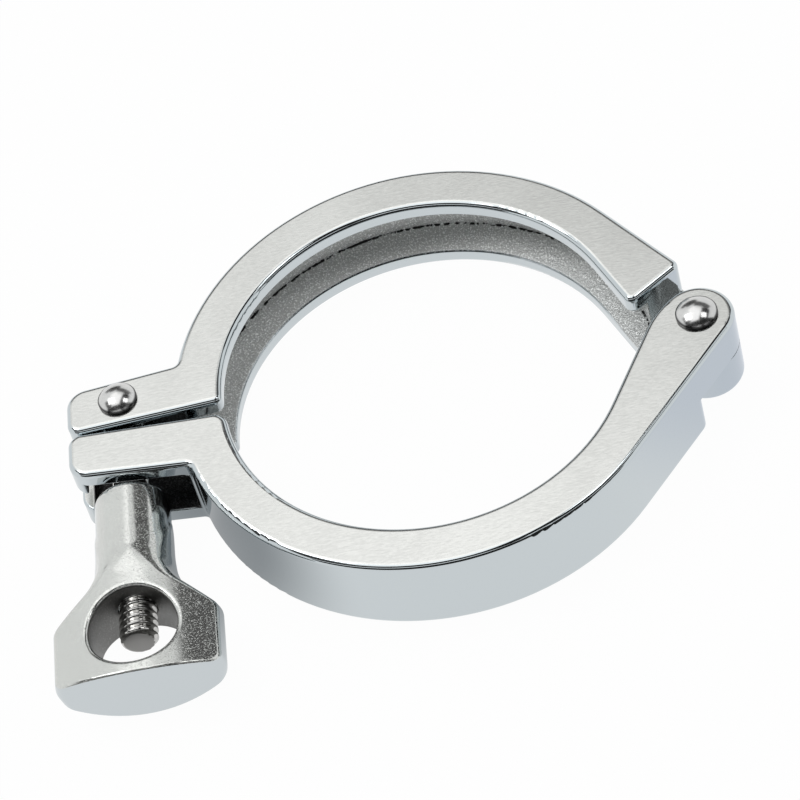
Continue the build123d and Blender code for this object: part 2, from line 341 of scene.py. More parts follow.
class Wiring:
    """Adds nodes to one tree. A value that is a socket is linked, any other value is set."""

    SPACING = 190
    ROWS = 6

    def __init__(self, tree):
        self.tree = tree
        tree.nodes.clear()

    def node(self, kind, inputs=None, **settings):
        made = self.tree.nodes.new(kind)
        column, row = divmod(len(self.tree.nodes) - 1, self.ROWS)
        made.location = (self.SPACING * column, -self.SPACING * row)
        for name, value in settings.items():
            setattr(made, name, value)
        for key, value in (inputs or {}).items():
            if isinstance(value, bpy.types.NodeSocket):
                self.tree.links.new(value, made.inputs[key])
            else:
                made.inputs[key].default_value = value
        return made

    def group(self, tree, **inputs):
        """A node group's outputs; an underscore in an input's name stands for a space."""
        named = {name.replace("_", " "): value for name, value in inputs.items()}
        return self.node("ShaderNodeGroup", named, node_tree=tree).outputs

    def math(self, operation, *values):
        made = self.node("ShaderNodeMath", dict(enumerate(values)), operation=operation)
        return made.outputs[0]

    def times(self, first, second):
        return self.math("MULTIPLY", first, second)

    def vector(self, operation, *values):
        """Vector math. A length and a dot product come out as a number."""
        made = self.node("ShaderNodeVectorMath", dict(enumerate(values)), operation=operation)
        return made.outputs["Value" if operation in ("LENGTH", "DOT_PRODUCT") else "Vector"]

    def split(self, vector):
        return self.node("ShaderNodeSeparateXYZ", {0: vector}).outputs

    def coordinate(self, name):
        return self.node("ShaderNodeTexCoord").outputs[name]

    def noise(self, place, scale, detail, roughness=0.5):
        return self.node(
            "ShaderNodeTexNoise",
            {"Vector": place, "Scale": scale, "Detail": detail, "Roughness": roughness},
        ).outputs["Fac"]

    def step(self, value, low, high):
        """0 below low and 1 above high, smooth between; low may be above high."""
        return self.node(
            "ShaderNodeMapRange",
            {"Value": value, "From Min": low, "From Max": high},
            interpolation_type="SMOOTHSTEP",
        ).outputs["Result"]

    def scale(self, value, low, high):
        """A value from 0 to 1 spread over low to high."""
        made = self.node("ShaderNodeMapRange", {"Value": value, "To Min": low, "To Max": high})
        return made.outputs["Result"]

    def blend(self, share, first, second):
        """Number between first and second."""
        made = self.node("ShaderNodeMix", {0: share, 2: first, 3: second}, data_type="FLOAT")
        return made.outputs[0]

    def tint(self, share, first, second):
        """Colour between first and second."""
        made = self.node("ShaderNodeMix", {0: share, 6: first, 7: second}, data_type="RGBA")
        return made.outputs[2]

    def tones(self, share, colour, low, high):
        """The colour, from low to high times its own brightness."""
        return self.tint(share, rgba(colour, low), rgba(colour, high))


FLOAT, VECTOR = "NodeSocketFloat", "NodeSocketVector"
ORIGIN = (0.0, 0.0, 0.0)


def new_group(name, inputs, outputs):
    """An empty shader node group with named sockets, its wiring, and its input values."""
    tree = bpy.data.node_groups.new(name, "ShaderNodeTree")
    for label, kind, value in inputs:
        socket = tree.interface.new_socket(label, in_out="INPUT", socket_type=kind)
        socket.default_value = value
    for label in outputs:
        tree.interface.new_socket(label, in_out="OUTPUT", socket_type=FLOAT)
    wiring = Wiring(tree)
    return tree, wiring, wiring.node("NodeGroupInput").outputs


# Brushed grain: shares of its lines and of its slow clouds, and the tone's edge.
LINE_SHARE, CLOUD_SHARE = 0.6, 0.4
CLOUD_SCALE = 60.0
TONE_EDGE = (0.3, 0.7)


def brushed_grain_group():
    """Fine scratches drawn out along one direction, with slow tone changes over the face."""
    tree, w, given = new_group(
        "brushed_grain",
        [("Scale", FLOAT, 2800.0), ("Stretch", VECTOR, (0.3, 1.0, 1.0))],
        ["Height", "Tone"],
    )
    place = w.coordinate("Object")
    drawn = w.vector("MULTIPLY", place, given["Stretch"])
    lines = w.noise(drawn, given["Scale"], detail=2.0, roughness=0.6)
    cloud = w.noise(place, CLOUD_SCALE, detail=3.0, roughness=0.55)
    tone = w.math("ADD", w.times(lines, LINE_SHARE), w.times(cloud, CLOUD_SHARE))
    w.node("NodeGroupOutput", {"Height": lines, "Tone": w.step(tone, *TONE_EDGE)})
    return tree


# Cast skin: size and depth of its pits against its bumps, and how fast a speck grows bright.
PIT_SCALE, PIT_SHARE = 0.55, 0.5
SPECK_RISE = 0.14


def cast_skin_group():
    """Blasted casting: close bumps of several sizes and bright specks on their tops."""
    tree, w, given = new_group(
        "cast_skin",
        [("Scale", FLOAT, 2800.0), ("Speck From", FLOAT, 0.54)],
        ["Height", "Speck"],
    )
    place = w.coordinate("Object")
    bumps = w.noise(place, given["Scale"], detail=3.0, roughness=0.65)
    pits = w.node(
        "ShaderNodeTexVoronoi",
        {"Vector": place, "Scale": w.times(given["Scale"], PIT_SCALE)},
        feature="SMOOTH_F1",
    ).outputs["Distance"]
    height = w.math("ADD", bumps, w.times(pits, PIT_SHARE))
    bright = w.math("ADD", given["Speck From"], SPECK_RISE)
    w.node(
        "NodeGroupOutput", {"Height": height, "Speck": w.step(bumps, given["Speck From"], bright)}
    )
    return tree


def polish_ripple_group():
    """Slow unevenness left by the buffing wheel, and the faint orange peel under it."""
    tree, w, given = new_group(
        "polish_ripple",
        [("Wave Scale", FLOAT, 90.0), ("Peel Scale", FLOAT, 900.0), ("Peel Share", FLOAT, 0.2)],
        ["Height"],
    )
    place = w.coordinate("Object")
    waves = w.noise(place, given["Wave Scale"], detail=1.0)
    peel = w.noise(place, given["Peel Scale"], detail=2.0)
    height = w.math("ADD", waves, w.times(peel, given["Peel Share"]))
    w.node("NodeGroupOutput", {"Height": height})
    return tree


def facing_up_group():
    """How squarely a surface faces along Z: 1 on flat tops and undersides."""
    tree, w, given = new_group(
        "facing_up", [("From", FLOAT, 0.96), ("To", FLOAT, 0.998)], ["Flat"]
    )
    up = w.math("ABSOLUTE", w.split(w.coordinate("Normal"))["Z"])
    w.node("NodeGroupOutput", {"Flat": w.step(up, given["From"], given["To"])})
    return tree


def distance_from_axis_group():
    """Distance of a place from an upright axis through a centre."""
    tree, w, given = new_group(
        "distance_from_axis",
        [("Place", VECTOR, ORIGIN), ("Centre", VECTOR, ORIGIN)],
        ["Radius"],
    )
    level = w.vector("MULTIPLY", w.vector("SUBTRACT", given["Place"], given["Centre"]), (1, 1, 0))
    w.node("NodeGroupOutput", {"Radius": w.vector("LENGTH", level)})
    return tree


def casting_regions_group():
    """Masks of a clamp half's flats, cast groove, bolt slot and the broken line of painted shade in
    the groove's crease.
    """
    tree, w, given = new_group(
        "casting_regions",
        [
            ("Groove Radius", FLOAT, GROOVE_RADIUS),
            ("Groove Half Height", FLOAT, GROOVE_HALF_HEIGHT),
            ("Slot Half Height", FLOAT, 0.0),
            ("Ring Centre", VECTOR, ORIGIN),
            ("Half Height", FLOAT, HALF_HEIGHT),
        ],
        ["Flat", "Groove", "Slot", "Seam"],
    )
    place = w.coordinate("Object")
    axis = w.group(shared("distance_from_axis"), Place=place, Centre=given["Ring Centre"])
    radius = axis["Radius"]
    parts = w.split(place)
    height = w.math("ABSOLUTE", parts["Z"])

    flat = w.step(w.math("SUBTRACT", given["Half Height"], height), *FLAT_EDGE)

    inside = w.math("LESS_THAN", radius, given["Groove Radius"])
    between = w.step(w.math("SUBTRACT", height, given["Groove Half Height"]), *GROOVE_EDGE)
    groove = w.times(inside, between)

    in_slot = w.step(w.math("SUBTRACT", height, given["Slot Half Height"]), *SLOT_ROOF_EDGE)
    past_end = w.step(parts["X"], *SLOT_FAR_EDGE)
    before_ring = w.step(parts["X"], *SLOT_NEAR_EDGE)
    slot = w.times(in_slot, w.times(past_end, before_ring))

    # Painted shade: a broken dark line along the crease between the groove's slope and its floor.
    reach = w.scale(w.noise(place, CREASE_SHADE_BREAK_SCALE, detail=2.0), *CREASE_SHADE_REACH)
    off_crease = w.math("ABSOLUTE", w.math("SUBTRACT", height, CREASE_SHADE_HEIGHT))
    near = w.step(w.math("SUBTRACT", off_crease, reach), *CREASE_SHADE_EDGE)
    seam = w.times(groove, w.times(near, w.step(radius, *CREASE_SHADE_RADIUS_EDGE)))
    w.node("NodeGroupOutput", {"Flat": flat, "Groove": groove, "Slot": slot, "Seam": seam})
    return tree


GROUP_MAKERS = {
    "brushed_grain": brushed_grain_group,
    "cast_skin": cast_skin_group,
    "polish_ripple": polish_ripple_group,
    "facing_up": facing_up_group,
    "distance_from_axis": distance_from_axis_group,
    "casting_regions": casting_regions_group,
}


def shared(name):
    """The node group of that name, built the first time it is asked for."""
    return bpy.data.node_groups.get(name) or GROUP_MAKERS[name]()


def steel_material(name):
    """The wiring of a new material, and a function that finishes it with one shader."""
    material = bpy.data.materials.new(name)
    material.use_nodes = True
    wiring = Wiring(material.node_tree)

    def finish(colour, roughness, height, bump):
        normal = wiring.node("ShaderNodeBump", {"Height": height, "Distance": bump}).outputs[0]
        shader = wiring.node(
            "ShaderNodeBsdfPrincipled",
            {"Base Color": colour, "Metallic": 1.0, "Roughness": roughness, "Normal": normal},
        )
        wiring.node("ShaderNodeOutputMaterial", {"Surface": shader.outputs[0]})
        return material

    return wiring, finish


# Castings: tones are a colour's lowest and highest brightness, reliefs are shares of the bump.
BRUSH_TONES = (0.945, 1.055)
GROOVE_TONES = (1.0, 1.9)
SLOT_TONES = (1.0, 3.0)
CASTING_SPECK_FROM = 0.5
CASTING_PEEL = 0.04
POLISHED_ROUGHNESS = 0.07
BRUSHED_ROUGHNESS = (0.25, 0.2)
GROOVE_ROUGHNESS = 0.38
SLOT_ROUGHNESS = 0.42
CASTING_RIPPLE_RELIEF = 0.2
CASTING_BRUSH_RELIEF = 0.08
CASTING_SKIN_RELIEF = 1.6
CASTING_BUMP = 0.1 * MM


def casting_material(name, look, ring_centre, slot_half_height):
    """One clamp half: brushed flats; buffed walls and rounds, painted darker and bluer as a
    reflection; cast groove with a broken line of painted shade in its crease; bolt slot painted
    near black as shade.
    """
    w, finish = steel_material(name)
    regions = w.group(
        shared("casting_regions"),
        Groove_Radius=look.groove_radius,
        Groove_Half_Height=look.groove_half_height,
        Slot_Half_Height=slot_half_height,
        Ring_Centre=ring_centre,
    )
    level = w.group(shared("facing_up"), From=0.99, To=0.999)["Flat"]
    flat = w.math("MAXIMUM", regions["Flat"], level)
    grain = w.group(shared("brushed_grain"))
    ripple = w.group(shared("polish_ripple"), Peel_Share=CASTING_PEEL)["Height"]
    skin = w.group(shared("cast_skin"), Speck_From=CASTING_SPECK_FROM)

    satin = w.tones(grain["Tone"], look.satin, *BRUSH_TONES)
    # Painted reflection: walls and rounds take the darker, bluer copy of the steel, the flats take
    # the satin steel.
    colour = w.tint(flat, rgba(look.polished), satin)
    cast = w.tones(skin["Speck"], look.cast, *GROOVE_TONES)
    colour = w.tint(regions["Groove"], colour, cast)
    # Painted shade: the bolt slot's recess is near black, with brighter cast specks on it.
    dark = w.tones(skin["Speck"], look.painted_slot_shade, *SLOT_TONES)
    colour = w.tint(regions["Slot"], colour, dark)
    # Painted shade: the broken dark line in the groove's crease.
    colour = w.tint(regions["Seam"], colour, rgba(look.seam))

    rough = w.blend(flat, POLISHED_ROUGHNESS, w.scale(grain["Tone"], *BRUSHED_ROUGHNESS))
    rough = w.blend(regions["Groove"], rough, GROOVE_ROUGHNESS)
    rough = w.blend(regions["Slot"], rough, SLOT_ROUGHNESS)

    buffed = w.times(ripple, CASTING_RIPPLE_RELIEF)
    brushed = w.times(grain["Height"], CASTING_BRUSH_RELIEF)
    smooth = w.blend(flat, buffed, brushed)
    unpolished = w.math("MAXIMUM", regions["Groove"], regions["Slot"])
    height = w.blend(unpolished, smooth, w.times(skin["Height"], CASTING_SKIN_RELIEF))
    return finish(colour, rough, height, CASTING_BUMP)


# Rivets: the painted shade ring is 0 and 1 at these distances inside the head's rim.
RIM_SHADE_START, RIM_SHADE_END = 0.45 * MM, 0.1 * MM
RIVET_ROUGHNESS = (0.15, 0.22)
RIVET_BUMP = 0.02 * MM


def rivet_material(name, look, centre, head_radius):
    """Polished dome, with shade painted as a dark ring where the head meets the casting."""
    w, finish = steel_material(name)
    place = w.coordinate("Object")
    radius = w.group(shared("distance_from_axis"), Place=place, Centre=centre)["Radius"]
    ripple = w.group(shared("polish_ripple"), Wave_Scale=350.0)["Height"]
    grain = w.group(shared("brushed_grain"), Scale=900.0, Stretch=(1.0, 1.0, 1.0))
    dome = w.tint(grain["Tone"], rgba(look.shade), rgba(look.shine))
    # Painted shade: a dark ring just inside the head's rim.
    painted_rim_shade = w.step(radius, head_radius - RIM_SHADE_START, head_radius - RIM_SHADE_END)
    colour = w.tint(painted_rim_shade, dome, rgba(look.painted_rim_shade))
    return finish(colour, w.scale(grain["Tone"], *RIVET_ROUGHNESS), ripple, RIVET_BUMP)


# Eye bolt: the sawn end is where the surface faces along -Y.
BOLT_TONES = (0.85, 1.1)
SAWN_EDGE = (-0.9, -0.98)
SAWN_LEVEL = 0.4
SAWN_ROUGHNESS = 0.35
BOLT_ROUGHNESS = (0.07, 0.13)
BOLT_RIPPLE_RELIEF = 0.12
BOLT_GRAIN_RELIEF = 0.1
BOLT_BUMP = 0.06 * MM


def bolt_material(look):
    """Turned steel with a darker sawn end."""
    w, finish = steel_material("bolt_turned_steel")
    ripple = w.group(shared("polish_ripple"), Wave_Scale=700.0, Peel_Scale=2500.0)["Height"]
    grain = w.group(shared("brushed_grain"), Scale=2200.0, Stretch=(1.0, 0.1, 1.0))
    turned = w.tones(grain["Tone"], look.steel, *BOLT_TONES)
    sawn = w.step(w.split(w.coordinate("Normal"))["Y"], *SAWN_EDGE)
    colour = w.tint(sawn, turned, rgba(look.steel, SAWN_LEVEL))
    rough = w.blend(sawn, w.scale(grain["Tone"], *BOLT_ROUGHNESS), SAWN_ROUGHNESS)
    waves = w.times(ripple, BOLT_RIPPLE_RELIEF)
    marks = w.times(grain["Height"], BOLT_GRAIN_RELIEF)
    return finish(colour, rough, w.math("ADD", waves, marks), BOLT_BUMP)


# Wing nut: the hole's wall is 0 and 1 at these distances outside the hole's radius.
HOLE_WALL_END, HOLE_WALL_START = 0.25 * MM, 0.1 * MM
NUT_TONES = (0.93, 1.04)
HOLE_TONES = (1.0, 1.7)
SIDE_ROUGHNESS = 0.09
WING_ROUGHNESS = 0.1
HOLE_ROUGHNESS = 0.36
NUT_RIPPLE_RELIEF = 0.3
NUT_SPECK_RELIEF = 0.22
NUT_BUMP = 0.08 * MM


def nut_material(look, hole_centre):
    """Buffed wings with fine blasted grain under the polish, and a cast finger hole whose wall is
    painted dark as shade.
    """
    w, finish = steel_material("wing_nut_steel")
    place = w.coordinate("Object")
    radius = w.group(shared("distance_from_axis"), Place=place, Centre=hole_centre)["Radius"]
    wall = w.step(radius, look.hole_radius + HOLE_WALL_END, look.hole_radius + HOLE_WALL_START)
    grain = w.group(shared("brushed_grain"), Scale=2600.0, Stretch=(1.0, 1.0, 1.0))
    skin = w.group(shared("cast_skin"), Scale=3200.0)
    ripple = w.group(shared("polish_ripple"), Wave_Scale=120.0)["Height"]
    facing = w.group(shared("facing_up"), From=0.25, To=0.6)["Flat"]

    steel = w.tones(grain["Tone"], look.steel, *NUT_TONES)
    # Painted reflection: upright faces take the darker, bluer copy of the steel.
    steel = w.tint(facing, rgba(look.side_reflection_tint), steel)
    # Painted shade: the finger hole's cast wall is painted dark, with brighter cast specks.
    hole = w.tones(skin["Speck"], look.hole_wall_shade, *HOLE_TONES)
    colour = w.tint(wall, steel, hole)
    rough = w.blend(wall, w.blend(facing, SIDE_ROUGHNESS, WING_ROUGHNESS), HOLE_ROUGHNESS)
    buffed = w.times(ripple, NUT_RIPPLE_RELIEF)
    specks = w.times(w.times(skin["Speck"], NUT_SPECK_RELIEF), facing)
    height = w.blend(wall, w.math("ADD", buffed, specks), skin["Height"])
    return finish(colour, rough, height, NUT_BUMP)


# Shapes as distances, and the meshes made from them.


def rounded_common(first, second, radius):
    """Where both shapes are, with their shared edge rounded."""
    corner = np.hypot(np.maximum(first + radius, 0), np.maximum(second + radius, 0))
    return np.minimum(-radius, np.maximum(first, second)) + corner


def soft_join(first, second, width):
    """Both shapes together, with the hollow between them filled over that width."""
    share = np.maximum(width - np.abs(first - second), 0) / width
    return np.minimum(first, second) - share**2 * width / 4


def soft_common(first, second, width):
    """Where both shapes are, with a blunt shared edge softened over that width."""
    return -soft_join(-first, -second, width)


def smooth_step(value, low, high):
    """0 below low and 1 above high, smooth between."""
    share = np.clip((value - low) / (high - low), 0, 1)
    return share * share * (3 - 2 * share)


def slope_of(distance, points, reach):
    """Direction in which the distance grows, at each point."""
    slope = np.empty_like(points)
    for axis in range(3):
        offset = np.zeros(3)
        offset[axis] = reach
        slope[:, axis] = distance(*(points + offset).T) - distance(*(points - offset).T)
    return slope / np.linalg.norm(slope, axis=1, keepdims=True)


# Mesh steps of room around a shape, rounds in which its points settle on it, and how many
# times finer than a mesh step its slope is measured.
MARGIN_STEPS = 4
SETTLING_ROUNDS = 3
SLOPE_FINENESS = 20


def skin_of(distance, low, high, step):
    """Quads on the surface where the distance is zero: points, quads and normals."""
    margin = MARGIN_STEPS * step
    reach = step / SLOPE_FINENESS
    axes = [np.arange(a - margin, b + margin, step) for a, b in zip(low, high)]
    field = distance(*np.meshgrid(*axes, indexing="ij"))
    grid = openvdb.FloatGrid(margin)
    grid.copyFromArray(np.clip(field, -margin, margin).astype(np.float32))
    points, quads = grid.convertToQuads(0.0)
    points = points.astype(float) * step + [axis[0] for axis in axes]
    for _ in range(SETTLING_ROUNDS):
        points -= distance(*points.T)[:, None] * slope_of(distance, points, reach)
    return points, quads.astype(int), slope_of(distance, points, reach)


def placed(points, origin):
    """Points drawn as (across, along, up) from origin, turned so that along runs to -Y."""
    across, along, up = points.T
    return np.column_stack([origin.x - across, origin.y - along, origin.z + up])


def new_piece(name, points, faces, material, body, node, normals=None):
    """A smooth mesh object that stands for a CAD node and moves with its body."""
    mesh = bpy.data.meshes.new(name)
    mesh.from_pydata([tuple(p) for p in points], [], [tuple(f) for f in faces])
    mesh.update()
    mesh.shade_smooth()
    if normals is not None:
        mesh.normals_split_custom_set_from_vertices([tuple(n) for n in normals])
    mesh.materials.append(material)
    piece = bpy.data.objects.new(name, mesh)
    bpy.context.scene.collection.objects.link(piece)
    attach(piece, body)
    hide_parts(node)
    return piece


# Wing nut. Along runs from the middle of the collar's back face to the wings' end. The collar
# is drawn in past one place and the wings are sunk before another, both by a parabola.

COLLAR_DRAWN_FROM = 17.5 * MM
WINGS_START = 8 * MM
WINGS_SUNK_UNTIL = 22 * MM
DRAWN_CURVATURE = 0.03 / MM
DRAFT_ROUND = 1 * MM
SIDE_INSET = 0.02 * MM
SHOULDER_SOFTNESS = 0.9 * MM
CORNER_ROUND = 2 * MM
WAIST_SOFTNESS = 6 * MM
ROOT_SOFTNESS = 1.2 * MM
COLLAR_END_ROUND = 1.4 * MM
HOLE_RIM_ROUND = 1.1 * MM
BORE_RADIUS = 4.1 * MM
WAIST_EDGE_ROUND, END_EDGE_ROUND = 1.3 * MM, 0.6 * MM
EDGE_ROUND_CHANGE = (24 * MM, 32 * MM)


def wing_nut_distance(sizes):
    """Distance to the wing nut, drawn from the middle of its back face."""
    side_start = NUT_LENGTH - sizes.end_bulge - sizes.side_length
    tip = side_start - WING_HALF_WIDTH / math.tan(sizes.flare)
    end_radius = (WING_HALF_WIDTH**2 + sizes.end_bulge**2) / (2 * sizes.end_bulge)
    hole_at = NUT_LENGTH - sizes.hole_from_end

    def wings_plan(across, along, up, turned):
        """Outline from above, drawn in above and below the middle plane."""
        out = np.abs(across)
        drawn_in = (np.hypot(up, DRAFT_ROUND) - DRAFT_ROUND) * math.sin(sizes.draft)
        flare = out * math.cos(sizes.flare) - (along - tip) * math.sin(sizes.flare)
        side = out - WING_HALF_WIDTH + SIDE_INSET
        end = np.hypot(across, along - NUT_LENGTH + end_radius) - end_radius
        plan = soft_common(flare, side, SHOULDER_SOFTNESS) + drawn_in
        return soft_join(rounded_common(plan, end, CORNER_ROUND), turned, WAIST_SOFTNESS)

    def distance(across, along, up):
        round_r = np.hypot(across, up)
        drawn = DRAWN_CURVATURE * np.maximum(along - COLLAR_DRAWN_FROM, 0) ** 2
        turned = round_r - COLLAR_RADIUS + drawn

        sunk = DRAWN_CURVATURE * np.maximum(WINGS_SUNK_UNTIL - along, 0) ** 2
        centre_up = np.abs(up) + sizes.crown_radius - sizes.crown + sunk
        crown = np.hypot(across, centre_up) - sizes.crown_radius
        finer = (WAIST_EDGE_ROUND - END_EDGE_ROUND) * smooth_step(along, *EDGE_ROUND_CHANGE)
        plan = wings_plan(across, along, up, turned)
        wings = rounded_common(plan, crown, WAIST_EDGE_ROUND - finer)
        wings = np.maximum(wings, WINGS_START - along)

        collar = rounded_common(turned, -along, COLLAR_END_ROUND)
        collar = np.maximum(collar, along - hole_at)
        nut = soft_join(wings, collar, ROOT_SOFTNESS)

        hole = sizes.hole_radius - np.hypot(across, along - hole_at)
        nut = rounded_common(nut, hole, HOLE_RIM_ROUND)
        bore = np.maximum(round_r - BORE_RADIUS, along - hole_at)
        return np.maximum(nut, -bore)

    return distance


class CLAMP_OT_wing_nut(bpy.types.Operator):
    """Build the wing nut: a turned collar that melts into crowned wings with a finger hole"""

    bl_idname = "clamp.wing_nut"
    bl_label = "Wing Nut"

    def execute(self, context):
        sizes = context.scene.clamp_wing_nut
        low = (-WING_HALF_WIDTH, 0, -COLLAR_RADIUS)
        high = (WING_HALF_WIDTH, NUT_LENGTH, COLLAR_RADIUS)
        points, quads, normals = skin_of(wing_nut_distance(sizes), low, high, sizes.mesh_step)
        new_piece(
            "wing_nut_body",
            placed(points, Vector((BOLT_X, NUT_HIGH.y, 0))),
            quads,
            nut_material(sizes, Vector((BOLT_X, NUT_LOW.y + sizes.hole_from_end, 0))),
            "nut_body",
            "wing_nut",
            placed(normals, Vector()),
        )
        return {"FINISHED"}


# Eye bolt. Along runs from the pivot to the sawn end.

ROWS_PER_TURN = 18
COLUMNS_PER_TURN = 80
PROFILE_EDGE = (0.15, 0.97)
RUN_OUT_TURNS = 1.5
SAWN_END_ROUND = 1.1 * MM
EYE_EDGE_ROUND = 0.8 * MM
NECK_EDGE_ROUND = 0.5 * MM
NECK_INTO_THREAD = 0.3 * MM
NECK_SOFTNESS = 1.5 * MM
EYE_HOLE_RIM_ROUND = 0.2 * MM
EYE_MESH_STEP = 0.3 * MM
WELD_DISTANCE = 0.002 * MM
SHARP_ANGLE = math.radians(50)


def thread_profile(phase):
    """0 at the root and 1 at the crest of one thread, over a phase of 0 to 1."""
    from_crest = np.abs(phase - 0.5) * 2
    return smooth_step(1 - from_crest, *PROFILE_EDGE)


def threaded_rod(sizes):
    """The threaded length as rows that follow the thread, with a rounded end: points, quads."""
    start, end = sizes.thread_start, BOLT_REACH
    first = int((start / sizes.pitch - 1) * ROWS_PER_TURN)
    last = int((end / sizes.pitch + 1) * ROWS_PER_TURN)
    turns = np.arange(first, last + ROWS_PER_TURN)[:, None] / ROWS_PER_TURN
    turn = np.arange(COLUMNS_PER_TURN)[None, :] / COLUMNS_PER_TURN
    along = np.clip((turns + turn) * sizes.pitch, start, end)
    cut = sizes.thread_depth * (1 - thread_profile(turns % 1))
    cut = cut * smooth_step(along, start, start + RUN_OUT_TURNS * sizes.pitch)
    past_round = np.maximum(along - end + SAWN_END_ROUND, 0)
    rounded = np.sqrt(np.maximum(SAWN_END_ROUND**2 - past_round**2, 0))
    radius = np.minimum(sizes.thread_radius - cut, sizes.thread_radius - SAWN_END_ROUND + rounded)
    angle = turn * 2 * math.pi
    points = np.stack([radius * np.sin(angle), along, radius * np.cos(angle)], axis=-1)

    def at(row, column):
        whole, rest = divmod(column, COLUMNS_PER_TURN)
        return (row + whole * ROWS_PER_TURN) * COLUMNS_PER_TURN + rest

    quads = [
        (at(r, c), at(r, c + 1), at(r + 1, c + 1), at(r + 1, c))
        for r in range(len(turns) - ROWS_PER_TURN - 1)
        for c in range(COLUMNS_PER_TURN)
    ]
    return points.reshape(-1, 3), quads


def eye_distance(sizes):
    """Distance to the eye and its flattened neck, drawn from the pivot."""

    def distance(across, along, up):
        ring = np.hypot(across, along)
        eye = rounded_common(ring - EYE_RADIUS, np.abs(up) - EYE_THICKNESS / 2, EYE_EDGE_ROUND)
        rod = np.hypot(across, up) - sizes.thread_radius
        neck = rounded_common(rod, np.abs(up) - sizes.neck_thickness / 2, NECK_EDGE_ROUND)
        neck_end = sizes.thread_start + NECK_INTO_THREAD
        neck = np.maximum(neck, np.maximum(-along, along - neck_end))
        whole = soft_join(eye, neck, NECK_SOFTNESS)
        return rounded_common(whole, sizes.eye_hole_radius - ring, EYE_HOLE_RIM_ROUND)

    return distance


def close_ends(mesh):
    """Welds the rows that were drawn together at the rod's ends and fills both end faces."""
    work = bmesh.new()
    work.from_mesh(mesh)
    bmesh.ops.remove_doubles(work, verts=work.verts, dist=WELD_DISTANCE)
    open_edges = [edge for edge in work.edges if edge.is_boundary]
    bmesh.ops.holes_fill(work, edges=open_edges, sides=0)
    bmesh.ops.recalc_face_normals(work, faces=work.faces)
    work.to_mesh(mesh)
    work.free()
    mesh.shade_smooth()
    mesh.set_sharp_from_angle(angle=SHARP_ANGLE)


class CLAMP_OT_eye_bolt(bpy.types.Operator):
    """Build the eye bolt: a forged eye, a flattened neck and a cut thread"""

    bl_idname = "clamp.eye_bolt"
    bl_label = "Eye Bolt"

    def execute(self, context):
        sizes = context.scene.clamp_eye_bolt
        low = (-EYE_RADIUS, -EYE_RADIUS, -EYE_THICKNESS / 2)
        high = (EYE_RADIUS, sizes.thread_start + MM, EYE_THICKNESS / 2)
        eye_points, eye_quads, _ = skin_of(eye_distance(sizes), low, high, EYE_MESH_STEP)
        rod_points, rod_quads = threaded_rod(sizes)
        piece = new_piece(
            "eye_bolt_body",
            placed(np.vstack([eye_points, rod_points]), Vector((BOLT_X, PIVOT_Y, 0))),
            [*eye_quads, *(np.array(rod_quads) + len(eye_points))],
            bolt_material(sizes),
            "bolt_body",
            "eye_bolt",
        )
        close_ends(piece.data)
        return {"FINISHED"}


# Castings and rivets.


def dress(node, material):
    """Gives a CAD part its finish and leaves its shape alone."""
    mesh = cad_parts[node].data
    mesh.materials.clear()
    mesh.materials.append(material)


class CLAMP_OT_castings(bpy.types.Operator):
    """Finish the two clamp halves: brushed flats, buffed rounds, cast groove and bolt slot"""

    bl_idname = "clamp.castings"
    bl_label = "Clamp Halves"

    def execute(self, context):
        look = context.scene.clamp_castings
        for node, name, centre, slot_half_height in CASTINGS:
            dress(node, casting_material(name, look, centre, slot_half_height))
        return {"FINISHED"}


class CLAMP_OT_rivets(bpy.types.Operator):
    """Finish the hinge rivet and the bolt's pivot rivet as polished domes"""

    bl_idname = "clamp.rivets"
    bl_label = "Rivets"

    def execute(self, context):
        look = context.scene.clamp_rivets
        for node in ("hinge_rivet", "bolt_pivot_rivet"):
            low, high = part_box(node)
            head_radius = (high.x - low.x) / 2
            dress(node, rivet_material(f"{node}_mirror", look, (low + high) / 2, head_radius))
        return {"FINISHED"}


# Stage.

# The sky: its colour, its colour overhead, and the edge between them as the direction's height.
SKY_COLOUR = (0.97, 0.98, 0.98, 1)
OVERHEAD_COLOUR = (1.45, 1.45, 1.45, 1)
OVERHEAD_EDGE = (0.8, 0.96)
IN_FRONT = 0.01

# Cards in the sky: name, azimuth, elevation, half width, half height (degrees), softness, level.
CARDS = (
    ("bright_box_ahead", -14, 63, 13, 14, 0.05, 1.45),
    ("dark_low_ahead", -7, 17, 19, 8, 0.05, 0.05),
    ("dark_wall_ahead", -4, 29, 14, 7, 0.06, 0.08),
    ("dark_wall_right", 33, 37, 22, 12, 0.03, 0.12),
    ("dark_wall_left", -88, 47, 16, 12, 0.05, 0.06),
    ("dark_high_right", 118, 64, 38, 15, 0.04, 0.02),
    ("dark_high_behind", 180, 58, 60, 12, 0.02, 0.02),
    ("dark_wall_behind", 180, 18, 62, 18, 0.03, 0.02),
)

# Painted shade on the floor that only the steel sees in its reflections: centre, outer and inner
# reach, colour.
REFLECTED_FLOOR_SHADES = (
    (Vector((-48, -27, 0)) * MM, 38 * MM, 6 * MM, (0.38, 0.39, 0.4, 1)),
    (Vector((76, -12, 0)) * MM, 42 * MM, 10 * MM, (0.84, 0.86, 0.92, 1)),
)
WHITE = (1, 1, 1, 1)

# Soft lamps: name, azimuth, elevation, distance and size in metres, power in watts.
LAMPS = (
    ("lamp_left", -75, 58, 1.0, 0.4, 1.6),
    ("lamp_right", 100, 62, 1.0, 0.3, 0.8),
)

AHEAD = Vector((-CAMERA_BACK.x, -CAMERA_BACK.y, 0)).normalized()
RIGHT = Vector((AHEAD.y, -AHEAD.x, 0))


